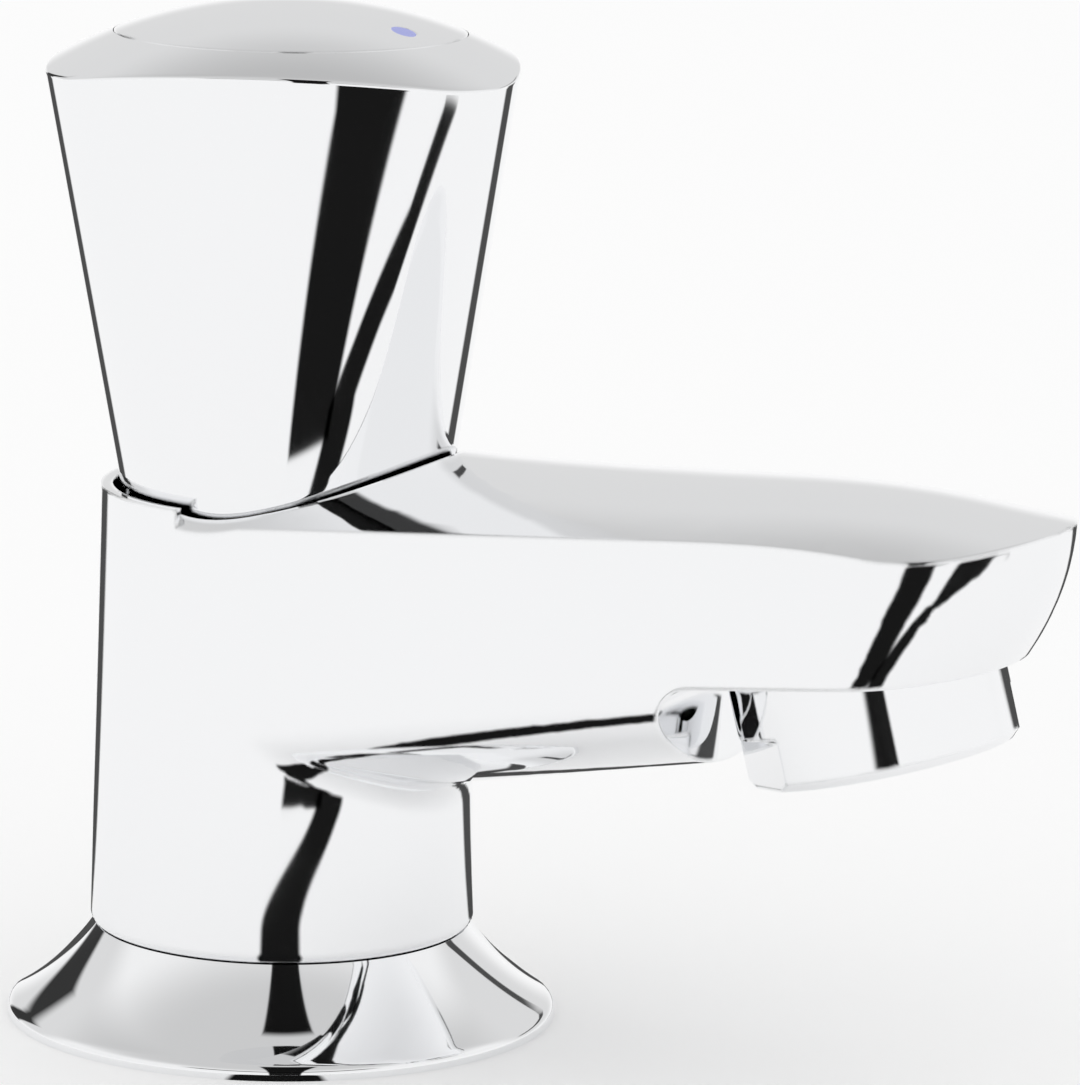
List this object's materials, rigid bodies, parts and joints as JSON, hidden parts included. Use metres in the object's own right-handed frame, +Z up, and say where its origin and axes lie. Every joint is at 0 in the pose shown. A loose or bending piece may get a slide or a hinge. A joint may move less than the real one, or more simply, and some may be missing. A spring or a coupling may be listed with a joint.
{
  "type": "basin pillar tap",
  "caption": "Single cold water pillar tap: conical base, round column with an integral rising spout, three-sided tapered handle, ceramic headwork and a threaded shank below the deck.",
  "frame": {"origin": "centre of the tap's seat on the deck, on the column's axis", "axes": "+Z up along the column, +X along the spout, -Z down the threaded shank"},
  "size_m": [0.0989, 0.0496, 0.1398],
  "materials": {
    "chrome": "polished",
    "brass": "machined",
    "steel": "bright",
    "rubber": "matt",
    "seal": "matt",
    "ceramic": "lapped",
    "white_plastic": "moulded",
    "blue": "gloss"
  },
  "bodies": {
    "tap": {"base_flange": "chrome", "body": "chrome", "threaded_shank": "brass", "shank_seal": "seal", "deck_gasket": "rubber", "clamp_gasket": "rubber", "clamp_washer": "steel", "backnut": "brass", "seat_seal": "seal", "fixed_disc": "ceramic", "thrust_ring": "white_plastic", "headwork_housing": "brass", "aerator_housing": "chrome", "aerator_core": "white_plastic", "outlet_grille": "white_plastic", "outlet_seal": "rubber"},
    "handle": {"moving_disc": "ceramic", "spindle": "brass", "spindle_rings": "seal", "retaining_clip": "steel", "handle_shell": "chrome", "handle_insert": "white_plastic", "handle_screw": "steel", "index_cap": "chrome", "cold_dot": "blue"}
  },
  "joints": [
    {"name": "handle_turn", "type": "hinge", "parent": "tap", "child": "handle", "pos_m": [0, 0, 0.03], "axis": [0, 0, 1], "range_deg": [0, 90]}
  ]
}
